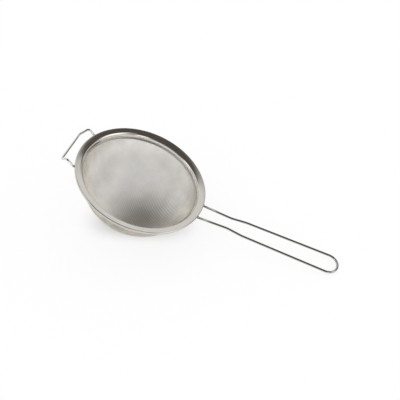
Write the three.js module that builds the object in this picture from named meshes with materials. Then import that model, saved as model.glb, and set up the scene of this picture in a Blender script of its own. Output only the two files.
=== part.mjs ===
import * as THREE from 'three';

// Fine-mesh kitchen strainer: a wide sheet rim, a bowl of woven wire cloth clamped in it by a band,
// a looped wire handle and a wire hook that rests on the edge of a pot.
// Lengths are millimetres and angles degrees. The strainer is built upright about the bowl's axis,
// with the rim's outer edge at height 0 and the handle along +X. It is then leaned over until the bowl
// and the tip of the handle lie on the table, and its box is centred over the origin.

// Rim: one strip of sheet with a skirt, a rising flange and a turned-down lip
const rimRadius = 80;
const flangeWidth = 9;
const flangeRise = 1.6;
const flangeCrown = 0.3;
const rimGauge = 0.8;
const skirtDepth = 6.6;
const lipDrop = 2.8;
const mouthBend = 2.4;
const crownBend = 30;
const lipBend = 0.9;

// Bowl of wire cloth, drawn as a coarse grid, and the band that clamps its edge inside the skirt
const bowlDepth = 67.5;
const clothThickness = 0.6;
const bandHeight = 3;
const bandGauge = 0.6;
const clothTuck = 0.4;
const clampGap = 0.3;
const gridRows = 5;

// Wire of the handle and the hook, welded under the rim
const wireDiameter = 2.8;
const weldGap = 0.3;

// Handle loop: stations along X from the rim's edge, half spacings of its two runs
const handleLength = 170.5;
const handleSlope = 7.9;
const rootHalf = 10.9;
const waistStation = 36;
const waistHalf = 8.8;
const waistBend = 30;
const shoulderStation = 54.5;
const shoulderHalf = 11.4;
const shoulderBend = 30;
const tipHalf = 13.4;
const tipFlat = 1.6;

// Rest hook: reaches beyond the rim, heights from the rim's edge, half widths
const hookHalf = 30.2;
const neckReach = 2;
const shoulderReach = 10.4;
const shoulderRise = 1.6;
const crossbarReach = 17.7;
const crossbarDrop = 8.2;
const crossbarHalf = 24.6;
const neckBend = 5;
const hookBend = 3.6;

// Fineness of the facets
const roundSegments = 72;
const bendSteps = 3;
const capSteps = 2;
const rowSteps = 4;
const columnFacets = 3;
const coreColumnFacets = 12;
const wireSides = 8;
const handleStep = 2.6;
const hookStep = 1.3;

const wireRadius = wireDiameter / 2;
const mouthRadius = rimRadius - flangeWidth;
const skirtFoot = -flangeRise - skirtDepth;
const slope = THREE.MathUtils.degToRad(handleSlope);

const sheetSteel = { color: 0xbcb8b0, roughness: 0.25, metalness: 1 };
const bandSteel = { color: 0xaaa8a2, roughness: 0.35, metalness: 1 };
const clothSteel = { color: 0xc8c6c0, roughness: 0.45, metalness: 0.9 };
const wireSteel = { color: 0xa8a6a2, roughness: 0.2, metalness: 1 };

function part(name, geometry, finish) {
  const mesh = new THREE.Mesh(geometry, new THREE.MeshStandardMaterial(finish));
  mesh.name = name;
  return mesh;
}

// Straight runs between the corners, joined by an arc of the given radius at each inner corner
function bentPath(corners, radii) {
  const path = new THREE.CurvePath();
  let start = corners[0];
  radii.forEach((radius, i) => {
    const corner = corners[i + 1];
    const inward = corners[i].clone().sub(corner).normalize();
    const outward = corners[i + 2].clone().sub(corner).normalize();
    const turn = Math.PI - inward.angleTo(outward);
    const cut = radius * Math.tan(turn / 2);
    const pull = cut - radius * (4 / 3) * Math.tan(turn / 4);
    const arcStart = corner.clone().addScaledVector(inward, cut);
    const arcEnd = corner.clone().addScaledVector(outward, cut);
    path.add(new THREE.LineCurve3(start, arcStart));
    path.add(new THREE.CubicBezierCurve3(
      arcStart,
      corner.clone().addScaledVector(inward, pull),
      corner.clone().addScaledVector(outward, pull),
      arcEnd,
    ));
    start = arcEnd;
  });
  path.add(new THREE.LineCurve3(start, corners[corners.length - 1]));
  return path;
}

// Closed section of a strip of sheet, half its gauge to each side of the mid-line
function stripSection(line, gauge) {
  const directions = line.slice(1).map((point, i) => new THREE.Vector2().subVectors(point, line[i]).normalize());
  const face = (side) => line.map((point, i) => {
    const arriving = directions[Math.max(i - 1, 0)];
    const leaving = directions[Math.min(i, directions.length - 1)];
    const along = arriving.clone().add(leaving).normalize();
    const reach = side * gauge / 2 / along.dot(leaving);
    return new THREE.Vector2(point.x - along.y * reach, point.y + along.x * reach);
  });
  const outer = face(-1);
  return [...outer, ...face(1).reverse(), outer[0]];
}

// A profile of radii and heights, turned about the vertical axis
function turned(profile) {
  return new THREE.LatheGeometry(profile, roundSegments).rotateX(Math.PI / 2);
}

// A round wire along a path, with a flat facet above and below
function wire(path, step) {
  const corner = wireRadius / Math.cos(Math.PI / wireSides);
  const section = new THREE.Shape();
  for (let i = 0; i < wireSides; i += 1) {
    const angle = (i + 0.5) * 2 * Math.PI / wireSides;
    const move = i === 0 ? 'moveTo' : 'lineTo';
    section[move](corner * Math.cos(angle), corner * Math.sin(angle));
  }
  const steps = Math.round(path.getLength() / step);
  return new THREE.ExtrudeGeometry(section, { steps, extrudePath: path, bevelEnabled: false });
}

function rimRing() {
  const half = rimGauge / 2;
  const skirtRadius = mouthRadius + half;
  const lipRadius = rimRadius - half;
  const crownLift = -flangeRise / 2 - half + flangeCrown;
  const corners = [
    new THREE.Vector3(skirtRadius, skirtFoot, 0),
    new THREE.Vector3(skirtRadius, -flangeRise - half, 0),
    new THREE.Vector3((skirtRadius + lipRadius) / 2, crownLift, 0),
    new THREE.Vector3(lipRadius, -half, 0),
    new THREE.Vector3(lipRadius, -lipDrop, 0),
  ];
  const line = bentPath(corners, [mouthBend, crownBend, lipBend]).getPoints(bendSteps);
  return part('rim_ring', turned(stripSection(line, rimGauge)), sheetSteel);
}

// The cloth's edge stands inside the skirt, and the clamp band inside the cloth
const clothEdgeRadius = mouthRadius - clampGap - clothThickness / 2;
const bandRadius = clothEdgeRadius - clothThickness / 2 - clampGap - bandGauge / 2;
const bowlFall = bowlDepth - clothThickness / 2 + skirtFoot;
const bowlRadius = (clothEdgeRadius ** 2 + bowlFall ** 2) / (2 * bowlFall);
const bowlCentre = skirtFoot - bowlFall + bowlRadius;

function clampBand() {
  const line = [
    new THREE.Vector2(bandRadius, skirtFoot),
    new THREE.Vector2(bandRadius, skirtFoot + bandHeight),
  ];
  return part('clamp_band', turned(stripSection(line, bandGauge)), bandSteel);
}

// Facets of the bowl count from its lowest point up and round its axis, the first one astride the X axis.
// Above the plain cap, the last step of each row and the first facet of each column is a bar, and the rest
// is open. The innermost rows have fewer columns.
const bowlSteps = capSteps + gridRows * rowSteps;

function isOpen(step, facet) {
  const row = Math.floor((step - capSteps) / rowSteps);
  const isBar = (step - capSteps) % rowSteps === rowSteps - 1;
  const rowColumnFacets = Math.max(columnFacets, coreColumnFacets / 2 ** row);
  return step >= capSteps && step < bowlSteps && !isBar && facet % rowColumnFacets !== 0;
}

// Corners of the facets on one face of the cloth, up to its straight edge inside the skirt
function clothFace(offset) {
  const radius = bowlRadius + offset;
  const edgeAngle = Math.atan2(clothEdgeRadius, bowlCentre - skirtFoot);
  const profile = [];
  for (let step = 0; step <= bowlSteps; step += 1) {
    const angle = edgeAngle * step / bowlSteps;
    profile.push(new THREE.Vector2(radius * Math.sin(angle), bowlCentre - radius * Math.cos(angle)));
  }
  profile.push(new THREE.Vector2(clothEdgeRadius + offset, skirtFoot + bandHeight + clothTuck));
  return (step, facet) => {
    const angle = 2 * Math.PI * (facet % roundSegments - 0.5) / roundSegments;
    const { x, y } = profile[step];
    return new THREE.Vector3(x * Math.cos(angle), x * Math.sin(angle), y);
  };
}

function meshBowl() {
  const inside = clothFace(-clothThickness / 2);
  const outside = clothFace(clothThickness / 2);
  const corners = [];
  const addFace = (a, b, c, d) => {
    corners.push(a, b, c);
    if (!a.equals(d)) corners.push(a, c, d);
  };
  for (let step = 0; step <= bowlSteps; step += 1) {
    for (let facet = 0; facet < roundSegments; facet += 1) {
      if (isOpen(step, facet)) continue;
      const low = [step, facet];
      const lowNext = [step, facet + 1];
      const high = [step + 1, facet];
      const highNext = [step + 1, facet + 1];
      addFace(outside(...highNext), outside(...high), outside(...low), outside(...lowNext));
      addFace(inside(...high), inside(...highNext), inside(...lowNext), inside(...low));
      const addWall = (from, to) => addFace(outside(...to), outside(...from), inside(...from), inside(...to));
      if (isOpen(step, facet - 1)) addWall(high, low);
      if (isOpen(step, facet + 1)) addWall(lowNext, highNext);
      if (step === bowlSteps || isOpen(step + 1, facet)) addWall(highNext, high);
      if (step > 0 && isOpen(step - 1, facet)) addWall(low, lowNext);
    }
  }
  return part('mesh_bowl', new THREE.BufferGeometry().setFromPoints(corners), clothSteel);
}

// Wires end clear of the bend at the mouth, and pass under the lip and the flange's low inner side
const wireEndRadius = mouthRadius + rimGauge + mouthBend;
const endInset = rimRadius - wireEndRadius;
const flangeUnderEnd = flangeRise * endInset / flangeWidth + rimGauge;
const seatDrop = Math.max(lipDrop, flangeUnderEnd - endInset * Math.tan(slope)) + weldGap;
const seatHeight = -seatDrop - wireRadius;

function wireEndX(half) {
  return Math.sqrt(wireEndRadius ** 2 - (half - wireRadius) ** 2);
}

function handleHeight(x) {
  return seatHeight + (x - rimRadius) * Math.tan(slope);
}

const handleTip = rimRadius + handleLength;

function handleWire() {
  const at = (x, y) => new THREE.Vector3(x, y, handleHeight(x));
  const run = [
    [wireEndX(rootHalf), rootHalf],
    [rimRadius + waistStation, waistHalf],
    [rimRadius + shoulderStation, shoulderHalf],
    [handleTip, tipHalf],
  ];
  const corners = [
    ...run.map(([x, y]) => at(x, y)),
    ...run.reverse().map(([x, y]) => at(x, -y)),
  ];
  const tipBend = tipHalf - tipFlat / 2;
  const bends = [waistBend, shoulderBend, tipBend];
  const path = bentPath(corners, [...bends, ...bends.reverse()]);
  return part('handle_wire', wire(path, handleStep), wireSteel);
}

function restHook() {
  const lipX = Math.sqrt(rimRadius ** 2 - hookHalf ** 2);
  const rootX = wireEndX(hookHalf);
  const level = (x) => seatHeight + (x - lipX) * Math.tan(slope);
  const run = [
    new THREE.Vector3(-rootX, hookHalf, level(rootX)),
    new THREE.Vector3(-lipX - neckReach, hookHalf, level(lipX + neckReach)),
    new THREE.Vector3(-lipX - shoulderReach, hookHalf, shoulderRise),
    new THREE.Vector3(-lipX - crossbarReach, crossbarHalf, -crossbarDrop),
  ];
  const mirrored = run.map((point) => point.clone().setY(-point.y)).reverse();
  const bends = [neckBend, hookBend, hookBend];
  const path = bentPath([...run, ...mirrored], [...bends, ...bends.reverse()]);
  return part('rest_hook', wire(path, hookStep), wireSteel);
}

// Lean at which the round bowl and the handle's tip touch the table together
function restLean() {
  const rise = handleHeight(handleTip) - bowlCentre;
  const span = Math.hypot(handleTip, rise);
  return Math.atan2(rise, handleTip) + Math.asin((bowlRadius + clothThickness / 2 - wireRadius) / span);
}

const upright = new THREE.Group();
upright.add(rimRing(), clampBand(), meshBowl(), handleWire(), restHook());
upright.rotation.y = restLean();

const strainer = new THREE.Group();
strainer.add(upright);
const box = new THREE.Box3().setFromObject(strainer, true);
const middle = box.getCenter(new THREE.Vector3());
upright.position.set(-middle.x, -middle.y, -box.min.z);

export default strainer;
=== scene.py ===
import math

import bmesh
import bpy
from mathutils import Matrix, Vector


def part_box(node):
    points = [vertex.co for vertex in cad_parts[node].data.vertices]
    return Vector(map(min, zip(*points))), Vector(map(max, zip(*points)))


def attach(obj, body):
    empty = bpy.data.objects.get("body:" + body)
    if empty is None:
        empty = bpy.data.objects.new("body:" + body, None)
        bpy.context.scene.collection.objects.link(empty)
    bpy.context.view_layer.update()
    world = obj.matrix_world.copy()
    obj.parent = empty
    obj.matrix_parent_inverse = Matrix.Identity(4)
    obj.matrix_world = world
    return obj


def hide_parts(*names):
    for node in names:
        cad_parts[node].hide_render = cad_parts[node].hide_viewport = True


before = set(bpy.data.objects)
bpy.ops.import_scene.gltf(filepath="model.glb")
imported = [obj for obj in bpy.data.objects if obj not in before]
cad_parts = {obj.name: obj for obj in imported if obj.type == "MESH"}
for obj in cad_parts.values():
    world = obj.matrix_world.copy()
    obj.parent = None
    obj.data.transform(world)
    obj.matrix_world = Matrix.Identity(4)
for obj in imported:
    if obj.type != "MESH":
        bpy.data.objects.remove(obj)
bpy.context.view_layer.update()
print("frame loaded:", ", ".join(sorted(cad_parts)))

mm = 0.001
noiseMiddle = 0.5
scene = bpy.context.scene
scene.view_settings.view_transform = "Standard"


# Shader maths: a socket that takes part in sums
class Flow:
    def __init__(self, tree, socket=None):
        self.tree = tree
        self.socket = socket

    def node(self, kind, settings=None, inputs=None, output=0):
        made = self.tree.nodes.new("ShaderNode" + kind)
        for key, value in (settings or {}).items():
            setattr(made, key, value)
        for key, value in (inputs or {}).items():
            if isinstance(value, Flow):
                self.tree.links.new(value.socket, made.inputs[key])
            else:
                made.inputs[key].default_value = value
        return Flow(self.tree, made.outputs[output] if made.outputs else None)

    def maths(self, operation, first, second=0.0):
        return self.node("Math", {"operation": operation}, {0: first, 1: second})

    def __add__(self, other):
        return self.maths("ADD", self, other)

    def __sub__(self, other):
        return self.maths("SUBTRACT", self, other)

    def __rsub__(self, other):
        return self.maths("SUBTRACT", other, self)

    def __mul__(self, other):
        return self.maths("MULTIPLY", self, other)

    def __rtruediv__(self, other):
        return self.maths("DIVIDE", other, self)

    def __pow__(self, other):
        return self.maths("POWER", self, other)

    __radd__ = __add__
    __rmul__ = __mul__


def newTree(material):
    material.use_nodes = True
    material.node_tree.nodes.clear()
    return Flow(material.node_tree)


def noise(flow, place, scale, detail):
    return flow.node("TexNoise", None, {"Vector": place, "Scale": scale, "Detail": detail})


def axes(flow, place):
    parts = flow.node("SeparateXYZ", None, {"Vector": place})
    return [Flow(flow.tree, s) for s in parts.socket.node.outputs]


def ramp(flow, value, start, end):
    return flow.node(
        "MapRange",
        {"interpolation_type": "SMOOTHSTEP"},
        {"Value": value, "From Min": start, "From Max": end},
    )


# Marks are read on the strainer held upright, in millimetres.
def steel(name, look, marks, paintLight=None):
    material = bpy.data.materials.new(name)
    flow = newTree(material)
    place = flow.node("TexCoord", None, None, "Object")
    upright = flow.node(
        "Mapping",
        {"vector_type": "TEXTURE"},
        {"Vector": place, "Location": leaned.translation, "Rotation": (0, lean, 0), "Scale": (mm, mm, mm)},
    )
    lines = marks(flow, upright, look) - noiseMiddle
    clouds = noise(flow, upright, look["cloudScale"], look["cloudDetail"]) - noiseMiddle
    tone = look["cloudTone"] * clouds + look["lineTone"] * lines + noiseMiddle
    dark = [c * (1 - look["contrast"]) for c in look["colour"]] + [1]
    light = [min(c * (1 + look["contrast"]), 1) for c in look["colour"]] + [1]
    colour = flow.node("Mix", {"data_type": "RGBA"}, {"Factor": tone, "A": dark, "B": light}, "Result")
    rough = look["rough"] + look["cloudRough"] * clouds + look["lineRough"] * lines
    metal = look["metal"]
    # Painted light: blends in a painted highlight or painted shade colour where the mask says
    if paintLight:
        paintedShare = paintLight(flow, place, upright)
        colour = flow.node(
            "Mix", {"data_type": "RGBA"}, {"Factor": paintedShare, "A": colour, "B": look["patchColour"]}, "Result"
        )
        if look["patchMatt"]:
            metal = look["metal"] - paintedShare * look["patchMatt"]
    surface = {"Base Color": colour, "Metallic": metal, "Roughness": rough}
    if look["bump"]:
        surface["Normal"] = flow.node(
            "Bump", None, {"Strength": look["bump"], "Distance": look["bumpDepth"] * mm, "Height": lines}
        )
    shader = flow.node("BsdfPrincipled", None, surface)
    flow.node("OutputMaterial", None, {"Surface": shader})
    return material


# Turning marks run round the bowl's axis, so the noise is stretched along the circle.
def turningMarks(flow, upright, look):
    x, y, z = axes(flow, upright)
    radius = (x * x + y * y) ** 0.5
    across = (radius + z) * look["markAcross"]
    around = look["markAlong"] / radius
    place = flow.node("CombineXYZ", None, {"X": across, "Y": x * around, "Z": y * around})
    return noise(flow, place, 1.0, look["markDetail"])


# Drawing marks run along the wire, which mostly lies along X.
def drawingMarks(flow, upright, look):
    across = look["markAcross"]
    stretched = flow.node("Mapping", None, {"Vector": upright, "Scale": (look["markAlong"], across, across)})
    return noise(flow, stretched, 1.0, look["markDetail"])


def blotches(flow, upright, look):
    return noise(flow, upright, look["markAcross"], look["markDetail"])


def settle(name, mesh, finish, node=None):
    piece = bpy.data.objects.new(name, mesh)
    scene.collection.objects.link(piece)
    mesh.materials.clear()
    mesh.materials.append(finish)
    mesh.shade_smooth()
    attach(piece, "root")
    if node:
        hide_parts(node)
    return piece


def placedMesh(name, bm):
    bmesh.ops.transform(bm, matrix=leaned, verts=bm.verts)
    mesh = bpy.data.meshes.new(name)
    bm.to_mesh(mesh)
    bm.free()
    return mesh


# Turned sheet, in millimetres
sheet = {
    "merge": 0.001,         # points this near to each other are one
    "near": 0.01,           # points this near to a corner are rounded with it
    "roundProfile": 0.5,
    "edgeSteps": 3,
    "edgeAngle": math.radians(50),  # edges sharper than this are rounded
}


def chain(bm, points):
    verts = [bm.verts.new((x, 0, z)) for x, z in points]
    return verts + [bm.edges.new(pair) for pair in zip(verts, verts[1:])]


def turn(bm, profile, segments):
    bmesh.ops.spin(
        bm, geom=profile, cent=(0, 0, 0), axis=(0, 0, 1), angle=2 * math.pi, steps=segments, use_merge=True
    )
    bmesh.ops.remove_doubles(bm, verts=bm.verts, dist=sheet["merge"])
    bmesh.ops.recalc_face_normals(bm, faces=bm.faces)


def roundCorner(bm, corner, setBack, segments):
    radius, height = corner
    near = sheet["near"]
    onLoop = {
        v for v in bm.verts
        if abs(math.hypot(v.co.x, v.co.y) - radius) < near and abs(v.co.z - height) < near
    }
    loop = [e for e in bm.edges if onLoop.issuperset(e.verts)]
    bmesh.ops.bevel(
        bm,
        geom=loop,
        offset=setBack,
        affect="EDGES",
        segments=segments,
        profile=sheet["roundProfile"],
        material=-1,
    )


# Sizes below are millimetres on the strainer held upright: rim's edge at height 0, handle along +X.
rim = {
    "radius": 80,
    "mouth": 71,            # inside the skirt
    "rise": 1.6,            # of the flange, from the mouth out to the edge
    "crown": 0.3,           # how far the flange bulges
    "gauge": 0.8,
    "skirt": 6.6,
    "lip": 2.8,
    "mouthBend": 2.4,       # the wires end clear of it
    "mouthRound": 1.84,     # set back of each rounded corner
    "crownRound": 2.3,
    "lipRound": 0.4,
    "cornerSteps": 8,
    "edgeRound": 0.12,
    "segments": 192,
    "highlightTop": -2.8,        # heights between which a painted highlight turns the skirt pale above the band
    "highlightFoot": -3.8,
    "highlightIn": 0.3,          # how far into the sheet it reaches
    "highlightEnds": (-68.5, -64),  # it fades out towards the hook
}
band = {
    "height": 3,
    "gauge": 0.6,
    "cloth": 0.6,           # thickness of the cloth that it clamps
    "gap": 0.3,             # left on both sides of the cloth
    "edgeRound": 0.15,
}
sheetLook = {
    "colour": (0.60, 0.585, 0.555),
    "contrast": 0.12,
    "cloudScale": 0.05,
    "cloudDetail": 3,
    "cloudTone": 0.8,
    "cloudRough": 0.06,
    "markAcross": 3,
    "markAlong": 4,
    "markDetail": 4,
    "lineTone": 0.7,
    "lineRough": 0.08,
    "rough": 0.12,
    "bump": 0.1,
    "bumpDepth": 0.05,
    "metal": 1,
    # colour of the painted highlight line on the rim's skirt
    "patchColour": (1, 0.99, 0.97, 1),
    "patchMatt": 1,         # share of the metal that the painted highlight takes away
}
bandLook = dict(sheetLook, colour=(0.7, 0.68, 0.645), rough=0.2)

skirtFoot = -rim["rise"] - rim["skirt"]
clothEdge = rim["mouth"] - band["gap"] - band["cloth"] / 2
bandOuter = clothEdge - band["cloth"] / 2 - band["gap"]


def uprightToFrame():
    low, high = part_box("clamp_band")
    across = 2 * bandOuter * mm
    tall = band["height"] * mm
    lean = math.asin((high.z - low.z) / math.hypot(across, tall)) - math.atan2(tall, across)
    tilted = Matrix.Rotation(lean, 4, "Y") @ Matrix.Scale(mm, 4)
    middle = Matrix.Translation((0, 0, -skirtFoot - band["height"] / 2))
    return lean, Matrix.Translation((low + high) / 2) @ tilted @ middle


lean, leaned = uprightToFrame()
print("leans", round(math.degrees(lean), 2), "degrees about the bowl and the handle's tip")


def sheetWall(piece, gauge, edgeRound):
    wall = piece.modifiers.new("gauge", "SOLIDIFY")
    wall.thickness = gauge * mm
    wall.offset = 0
    wall.use_even_offset = True
    edges = piece.modifiers.new("edges", "BEVEL")
    edges.width = edgeRound * mm
    edges.segments = sheet["edgeSteps"]
    edges.limit_method = "ANGLE"
    edges.angle_limit = sheet["edgeAngle"]
    normals = piece.modifiers.new("normals", "WEIGHTED_NORMAL")
    normals.keep_sharp = True


# Painted highlight: a pale, unmetallic line on the skirt's inside above the band, standing in for a bright
# reflection
def paintedSkirtHighlight(flow, place, upright):
    x, y, z = axes(flow, upright)
    radius = (x * x + y * y) ** 0.5
    inside = ramp(flow, radius, rim["mouth"] + rim["highlightIn"], rim["mouth"])
    return inside * ramp(flow, z, rim["highlightTop"], rim["highlightFoot"]) * ramp(flow, x, *rim["highlightEnds"])


def makeRim():
    half = rim["gauge"] / 2
    inner = rim["mouth"] + half
    outer = rim["radius"] - half
    mouthCorner = (inner, -rim["rise"] - half)
    crown = ((inner + outer) / 2, -rim["rise"] / 2 - half + rim["crown"])
    lipCorner = (outer, -half)
    bm = bmesh.new()
    profile = chain(bm, [(inner, skirtFoot), mouthCorner, crown, lipCorner, (outer, -rim["lip"])])
    turn(bm, profile, rim["segments"])
    roundCorner(bm, mouthCorner, rim["mouthRound"], rim["cornerSteps"])
    roundCorner(bm, crown, rim["crownRound"], rim["cornerSteps"])
    roundCorner(bm, lipCorner, rim["lipRound"], rim["cornerSteps"])
    finish = steel("turnedSheetSteel", sheetLook, turningMarks, paintedSkirtHighlight)
    piece = settle("rimRing", placedMesh("rimRing", bm), finish, "rim_ring")
    sheetWall(piece, rim["gauge"], rim["edgeRound"])


def makeBand():
    radius = bandOuter - band["gauge"] / 2
    bm = bmesh.new()
    turn(bm, chain(bm, [(radius, skirtFoot), (radius, skirtFoot + band["height"])]), rim["segments"])
    finish = steel("satinBandSteel", bandLook, turningMarks)
    piece = settle("clampBand", placedMesh("clampBand", bm), finish, "clamp_band")
    sheetWall(piece, band["gauge"], band["edgeRound"])


makeRim()
makeBand()
print("rim and clamp band turned")


cloth = {
    "depth": 67.5,
    "wire": 0.3,
    "pitch": 1.1,
    "tuck": 3,              # runs up between skirt and band
    "crest": 0.2,           # share of the pitch that a wire stays over or under another
    "netSpare": 1.35,       # the net reaches past the edge by this factor on its diagonals
    "shares": 4,            # pieces that each set of wires is split into
    "roundSteps": 1,        # of a wire's section
}
clothLook = dict(
    sheetLook,
    colour=(0.72, 0.675, 0.6),
    contrast=0.22,
    cloudTone=2.2,
    metal=0.45,
    rough=0.4,
    markAcross=1.3,
    markDetail=2,
    bump=0,
    # painted shade where the bowl rests, for the shadow seen through the cloth
    patchColour=(0.31, 0.252, 0.2, 1),
    patchMatt=0,
    patchMiddle=(-0.078, -0.005, 0),  # metres in the frame
    patchReach=(0.015, 0.062),
    # painted moiré lines across the painted shade
    lineTurn=math.radians(-45),
    lineScale=0.12,
    lineShare=0.8,
)


# Painted shade where the bowl rests on the floor, standing in for its shadow seen through the cloth, broken
# by painted moiré lines of the wires against that shadow
def paintedContactShade(flow, place, upright):
    middle = clothLook["patchMiddle"]
    away = flow.node("VectorMath", {"operation": "DISTANCE"}, {0: place, 1: middle}, "Value")
    near, far = clothLook["patchReach"]
    slanted = flow.node("Mapping", None, {"Vector": upright, "Rotation": (0, 0, clothLook["lineTurn"])})
    lines = flow.node("TexWave", None, {"Vector": slanted, "Scale": clothLook["lineScale"]})
    return ramp(flow, away, far, near) * (1 - lines * clothLook["lineShare"])


# The cloth is drawn into the bowl as a net of equal cells: each new crossing is the one behind it,
# turned half round about the middle of its two neighbours.
def clothNet(count, step):
    net = {}
    for i in range(count + 1):
        along = (math.sin(i * step), -math.cos(i * step))
        net[i, 0] = Vector((along[0], 0, along[1]))
        net[0, i] = Vector((0, along[0], along[1]))
    for i in range(count):
        for j in range(count):
            middle = (net[i + 1, j] + net[i, j + 1]).normalized()
            behind = net[i, j]
            net[i + 1, j + 1] = 2 * behind.dot(middle) * middle - behind
    return net


def makeCloth():
    fall = cloth["depth"] - band["cloth"] / 2 + skirtFoot
    radius = (clothEdge ** 2 + fall ** 2) / (2 * fall)
    centre = skirtFoot - fall + radius
    edgeAngle = math.atan2(clothEdge, centre - skirtFoot)
    step = cloth["pitch"] / radius
    lastAngle = edgeAngle + cloth["tuck"] / radius
    count = int(cloth["netSpare"] * lastAngle / step)
    net = clothNet(count, step)
    lift = (band["cloth"] - cloth["wire"]) / 2

    def spot(i, j):
        knot = net[abs(i), abs(j)]
        return Vector((math.copysign(knot.x, i), math.copysign(knot.y, j), knot.z))

    def onBowl(way, height):
        polar = math.acos(-way.z)
        if polar <= edgeAngle:
            return leaned @ (way * (radius + height) + Vector((0, 0, centre)))
        side = Vector((way.x, way.y, 0)).normalized() * (clothEdge + height)
        return leaned @ (side + Vector((0, 0, skirtFoot + (polar - edgeAngle) * radius)))

    def strand(knots, over):
        ways = [spot(i, j) for i, j in knots]
        points = []
        for k, way in enumerate(ways):
            height = lift if (k + over) % 2 else -lift
            back = way.lerp(ways[max(k - 1, 0)], cloth["crest"]).normalized()
            ahead = way.lerp(ways[min(k + 1, len(ways) - 1)], cloth["crest"]).normalized()
            points += [onBowl(back, height), onBowl(ahead, height)]
        return points

    def reach(i, pair):
        for j in range(count + 1):
            if math.acos(max(-1, -spot(*pair(i, j)).z)) > lastAngle:
                return j - 1
        return count

    finish = steel("wovenWireSteel", clothLook, blotches, paintedContactShade)
    for family, pair in (("Warp", lambda i, j: (i, j)), ("Weft", lambda i, j: (j, i))):
        last = max(i for i in range(count + 1) if reach(i, pair) >= 0)
        rows = range(-last, last + 1)
        total = sum(2 * reach(i, pair) + 1 for i in rows)
        shares = [[] for _ in range(cloth["shares"])]
        laid = 0
        for i in rows:
            end = reach(i, pair)
            over = i + end + (family == "Weft")
            shares[int(laid / total * cloth["shares"])].append(
                strand([pair(i, j) for j in range(-end, end + 1)], over)
            )
            laid += 2 * end + 1
        for number, strands in enumerate(shares, 1):
            weaveStrands(f"cloth{family}{number}", strands, finish)


def weaveStrands(name, strands, finish):
    curve = bpy.data.curves.new(name, "CURVE")
    curve.dimensions = "3D"
    curve.bevel_depth = cloth["wire"] / 2 * mm
    curve.bevel_resolution = cloth["roundSteps"]
    curve.use_fill_caps = True
    for points in strands:
        spline = curve.splines.new("POLY")
        spline.points.add(len(points) - 1)
        spline.points.foreach_set("co", [n for p in points for n in (*p, 1)])
    drawn = bpy.data.objects.new(name + "Line", curve)
    scene.collection.objects.link(drawn)
    mesh = bpy.data.meshes.new_from_object(drawn.evaluated_get(bpy.context.evaluated_depsgraph_get()))
    bpy.data.objects.remove(drawn)
    mesh.name = name
    settle(name, mesh, finish, "mesh_bowl")
    print(name, len(strands), "wires,", sum(len(p.vertices) - 2 for p in mesh.polygons), "triangles")


makeCloth()
print("cloth woven")


wire = {
    "size": 2.8,
    "sides": 20,
    "bendStep": 5,          # degrees
    "leastSteps": 4,        # in one bend
    "weldGap": 0.3,
}


# Wire is fed straight and bent on a former, as a wire bender works.
def feed(bm, ring, step):
    grown = bmesh.ops.extrude_edge_only(bm, edges=ring)["geom"]
    verts = [g for g in grown if isinstance(g, bmesh.types.BMVert)]
    bmesh.ops.translate(bm, verts=verts, vec=step)
    return [g for g in grown if isinstance(g, bmesh.types.BMEdge) and set(g.verts) <= set(verts)]


def bendWire(corners, bends):
    bm = bmesh.new()
    first = (corners[1] - corners[0]).normalized()
    start = Matrix.Translation(corners[0]) @ first.to_track_quat("Z", "Y").to_matrix().to_4x4()
    bmesh.ops.create_circle(bm, cap_ends=True, segments=wire["sides"], radius=wire["size"] / 2, matrix=start)
    ring = bm.edges[:]
    at = corners[0]
    for before, corner, after, bend in zip(corners, corners[1:], corners[2:], bends):
        back = (before - corner).normalized()
        ahead = (after - corner).normalized()
        angle = math.pi - back.angle(ahead)
        arcStart = corner + back * bend * math.tan(angle / 2)
        ring = feed(bm, ring, arcStart - at)
        centre = corner + (back + ahead).normalized() * bend / math.cos(angle / 2)
        steps = max(wire["leastSteps"], round(math.degrees(angle) / wire["bendStep"]))
        bent = bmesh.ops.spin(
            bm, geom=ring, cent=centre, axis=ahead.cross(back).normalized(), angle=angle, steps=steps
        )
        ring = [g for g in bent["geom_last"] if isinstance(g, bmesh.types.BMEdge)]
        at = corner + ahead * bend * math.tan(angle / 2)
    ring = feed(bm, ring, corners[-1] - at)
    bmesh.ops.edgeloop_fill(bm, edges=ring)
    bmesh.ops.recalc_face_normals(bm, faces=bm.faces)
    return bm


handle = {
    "length": 170.5,        # from the rim's edge
    "slope": 7.9,           # degrees
    "root": 10.9,           # half widths of the loop
    "waist": 8.8,
    "waistAt": 36,
    "shoulder": 11.4,
    "shoulderAt": 54.5,
    "tip": 13.4,
    "tipFlat": 1.6,
    "bend": 30,
}
hook = {
    "half": 30.2,           # half width between the legs
    "neckOut": 2,           # reaches beyond the rim's edge
    "shoulderOut": 10.4,
    "shoulderUp": 1.6,
    "barOut": 17.7,
    "barDown": 8.2,
    "barHalf": 24.6,
    "neckBend": 5,
    "bend": 3.6,
}
wireLook = dict(
    sheetLook, colour=(0.42, 0.41, 0.395), rough=0.14, markAcross=3.5, markAlong=0.06, markDetail=3
)
# The hook is the handle's wire with a lighter colour: a painted highlight for the hook's brighter
# reflections
hookHighlightLook = dict(wireLook, colour=(0.68, 0.67, 0.65))
slope = math.tan(math.radians(handle["slope"]))
wireRadius = wire["size"] / 2
wireEnd = rim["mouth"] + rim["gauge"] + rim["mouthBend"]
endInset = rim["radius"] - wireEnd
flangeUnder = rim["rise"] * endInset / (rim["radius"] - rim["mouth"]) + rim["gauge"]
seat = -max(rim["lip"], flangeUnder - endInset * slope) - wire["weldGap"] - wireRadius


def wireEndX(half):
    return math.sqrt(wireEnd ** 2 - (half - wireRadius) ** 2)


def mirrored(run):
    return run + [Vector((p.x, -p.y, p.z)) for p in reversed(run)]


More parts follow.
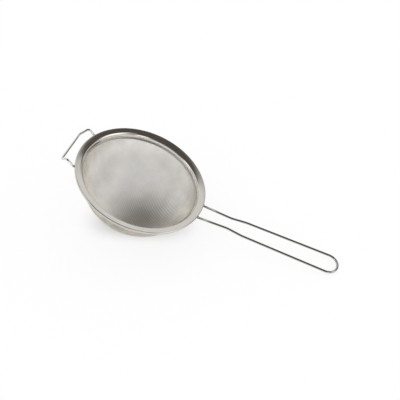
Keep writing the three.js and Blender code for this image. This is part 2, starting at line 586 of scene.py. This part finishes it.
def makeHandle():
    edge = rim["radius"]
    run = [
        (wireEndX(handle["root"]), handle["root"]),
        (edge + handle["waistAt"], handle["waist"]),
        (edge + handle["shoulderAt"], handle["shoulder"]),
        (edge + handle["length"], handle["tip"]),
    ]
    corners = mirrored([Vector((x, y, seat + (x - edge) * slope)) for x, y in run])
    bends = [handle["bend"], handle["bend"], handle["tip"] - handle["tipFlat"] / 2]
    bm = bendWire(corners, bends + bends[::-1])
    finish = steel("drawnWireSteel", wireLook, drawingMarks)
    settle("handleWire", placedMesh("handleWire", bm), finish, "handle_wire")


def makeHook():
    edge = math.sqrt(rim["radius"] ** 2 - hook["half"] ** 2)
    root = wireEndX(hook["half"])
    neck = edge + hook["neckOut"]
    run = [
        Vector((-root, hook["half"], seat + (root - edge) * slope)),
        Vector((-neck, hook["half"], seat + (neck - edge) * slope)),
        Vector((-edge - hook["shoulderOut"], hook["half"], hook["shoulderUp"])),
        Vector((-edge - hook["barOut"], hook["barHalf"], -hook["barDown"])),
    ]
    bends = [hook["neckBend"], hook["bend"], hook["bend"]]
    bm = bendWire(mirrored(run), bends + bends[::-1])
    finish = steel("hookHighlightWireSteel", hookHighlightLook, drawingMarks)
    settle("restHook", placedMesh("restHook", bm), finish, "rest_hook")


makeHandle()
makeHook()
print("handle and hook bent")


weld = {
    "long": 2.1,            # half sizes of the bead
    "wide": 1.5,
    "tall": 0.75,
    "subdivisions": 3,
}
weldLook = dict(
    sheetLook, colour=(0.50, 0.48, 0.45), rough=0.34, markAcross=1.3, markDetail=2, bump=0.3
)


def makeWelds():
    bm = bmesh.new()
    for half, side in ((handle["root"], 1), (hook["half"], -1)):
        for y in (half, -half):
            x = side * math.sqrt((rim["radius"] - rim["gauge"] / 2) ** 2 - y ** 2)
            place = Matrix.Translation((x, y, -rim["lip"] - wire["weldGap"] / 2))
            size = Matrix.Diagonal((weld["long"], weld["wide"], weld["tall"], 1))
            bmesh.ops.create_icosphere(
                bm, subdivisions=weld["subdivisions"], radius=1, matrix=place @ size
            )
    settle("welds", placedMesh("welds", bm), steel("weldSteel", weldLook, blotches))


makeWelds()
print("welds set")


# Floor, light and camera
floorLook = {
    "size": 8,
    "colour": 0.7,
    "shade": 0.18,          # share of its own shading that the camera sees, the rest is white
    "underShade": 0.45,     # the same under the bowl, with no white
    "under": (-0.079, -0.004, 0),
    "underReach": (0.005, 0.08),
    "frontWay": (0.282, -0.959, 0),  # the shade under the bowl ends short of its front
    "frontReach": (0.005, 0.042),
    "behind": (-0.108, 0.071, 0),  # soft shade behind the bowl
    "behindReach": (0.045, 0.08),
    "behindShade": 0.33,
}
room = {
    "strength": 1,
    "light": (1, 1, 1),
    "ceiling": (0.108, 0.094, 0.081),
    "panel": (1, 0.982, 0.96),
}
# Panels that the metal mirrors: round, with a direction and half width in degrees. A later one covers
# those before it.
panels = {
    "horizon": {"azimuth": -176, "elevation": -70, "reach": 75, "soft": 63, "level": 0.65},
    "backLeft": {"azimuth": 73, "elevation": 28.7, "reach": 10, "soft": 1.5, "level": 0.75},
    "backdrop": {"azimuth": 117, "elevation": 14.5, "reach": 48.8, "soft": 4.9, "level": 0.97},
    "right": {"azimuth": -3, "elevation": -3, "reach": 22.8, "soft": 12, "level": 1.8},
    "rightHigh": {"azimuth": 10.7, "elevation": 36, "reach": 11, "soft": 11, "level": 2.1},
    "frontLeft": {"azimuth": -152, "elevation": 24, "reach": 15, "soft": 8, "level": 2.8},
    "frontRight": {"azimuth": -52, "elevation": 8, "reach": 11, "soft": 7, "level": 2.6},
    "left": {"azimuth": 180, "elevation": 32, "reach": 24, "soft": 12, "level": 1},
}
camera = {
    "stand": (0.184864, -0.629264, 0.660366),
    "aim": (-0.021016, 0.057494, 0),
    "roll": 2.129,          # degrees
    "slide": -0.00125,      # share of the picture's width
    "focal": 68.894,
    "sensor": 36,
}


def makeFloor():
    bm = bmesh.new()
    bmesh.ops.create_grid(bm, x_segments=1, y_segments=1, size=floorLook["size"] / 2)
    mesh = bpy.data.meshes.new("floor")
    bm.to_mesh(mesh)
    bm.free()
    floor = bpy.data.objects.new("floor", mesh)
    scene.collection.objects.link(floor)
    material = bpy.data.materials.new("paleFloor")
    flow = newTree(material)
    straight = flow.node("LightPath", None, None, "Is Camera Ray")
    glossy = flow.node("LightPath", None, None, "Is Glossy Ray")
    through = flow.node("LightPath", None, None, "Is Transmission Ray")
    seen = flow.maths("MAXIMUM", flow.maths("MAXIMUM", straight, glossy), through)
    place = flow.node("TexCoord", None, None, "Object")
    under = Vector(floorLook["under"])
    away = flow.node("VectorMath", {"operation": "DISTANCE"}, {0: place, 1: under}, "Value")
    near, far = floorLook["underReach"]
    front = Vector(floorLook["frontWay"])
    ahead = flow.node("VectorMath", {"operation": "DOT_PRODUCT"}, {0: place, 1: front}, "Value")
    close, clear = floorLook["frontReach"]
    deep = ramp(flow, away, far, near) * ramp(flow, ahead - front.dot(under), clear, close)
    shade = floorLook["shade"] + deep * (floorLook["underShade"] - floorLook["shade"])
    tone = floorLook["colour"] + seen * (shade - floorLook["colour"])
    matt = flow.node("BsdfDiffuse", None, {"Color": tone})
    past = flow.node("VectorMath", {"operation": "DISTANCE"}, {0: place, 1: floorLook["behind"]}, "Value")
    near, far = floorLook["behindReach"]
    dim = 1 - ramp(flow, past, far, near) * floorLook["behindShade"]
    white = seen * (1 - deep) * dim * (1 - floorLook["shade"])
    glow = flow.node("Emission", None, {"Strength": white})
    both = flow.node("AddShader", None, {0: matt, 1: glow})
    flow.node("OutputMaterial", None, {"Surface": both})
    mesh.materials.append(material)


def makeWorld():
    world = bpy.data.worlds.new("studio")
    scene.world = world
    flow = newTree(world)
    way = flow.node("TexCoord", None, None, "Generated")
    reflected = (*room["ceiling"], 1)
    for panel in panels.values():
        azimuth = math.radians(panel["azimuth"])
        elevation = math.radians(panel["elevation"])
        flat = math.cos(elevation)
        aim = (flat * math.cos(azimuth), flat * math.sin(azimuth), math.sin(elevation))
        towards = flow.node("VectorMath", {"operation": "DOT_PRODUCT"}, {0: way, 1: aim}, "Value")
        outer = math.cos(math.radians(panel["reach"] + panel["soft"]))
        inner = math.cos(math.radians(panel["reach"] - panel["soft"]))
        inside = ramp(flow, towards, outer, inner)
        bright = [panel["level"] * c for c in room["panel"]] + [1]
        reflected = flow.node(
            "Mix", {"data_type": "RGBA"}, {"Factor": inside, "A": reflected, "B": bright}, "Result"
        )
    glossy = flow.node("LightPath", None, None, "Is Glossy Ray")
    plain = (*room["light"], 1)
    seen = flow.node("Mix", {"data_type": "RGBA"}, {"Factor": glossy, "A": plain, "B": reflected}, "Result")
    light = flow.node("Background", None, {"Color": seen, "Strength": room["strength"]})
    flow.node("OutputWorld", None, {"Surface": light})


def makeCamera():
    lens = bpy.data.cameras.new("camera")
    lens.lens = camera["focal"]
    lens.sensor_width = camera["sensor"]
    lens.shift_x = camera["slide"]
    stand = bpy.data.objects.new("camera", lens)
    sight = Vector(camera["aim"]) - Vector(camera["stand"])
    level = sight.to_track_quat("-Z", "Y").to_matrix().to_4x4()
    tilt = Matrix.Rotation(math.radians(camera["roll"]), 4, "Z")
    stand.matrix_world = Matrix.Translation(camera["stand"]) @ level @ tilt
    scene.collection.objects.link(stand)
    scene.camera = stand


makeFloor()
makeWorld()
makeCamera()
print("stage, light and camera set")
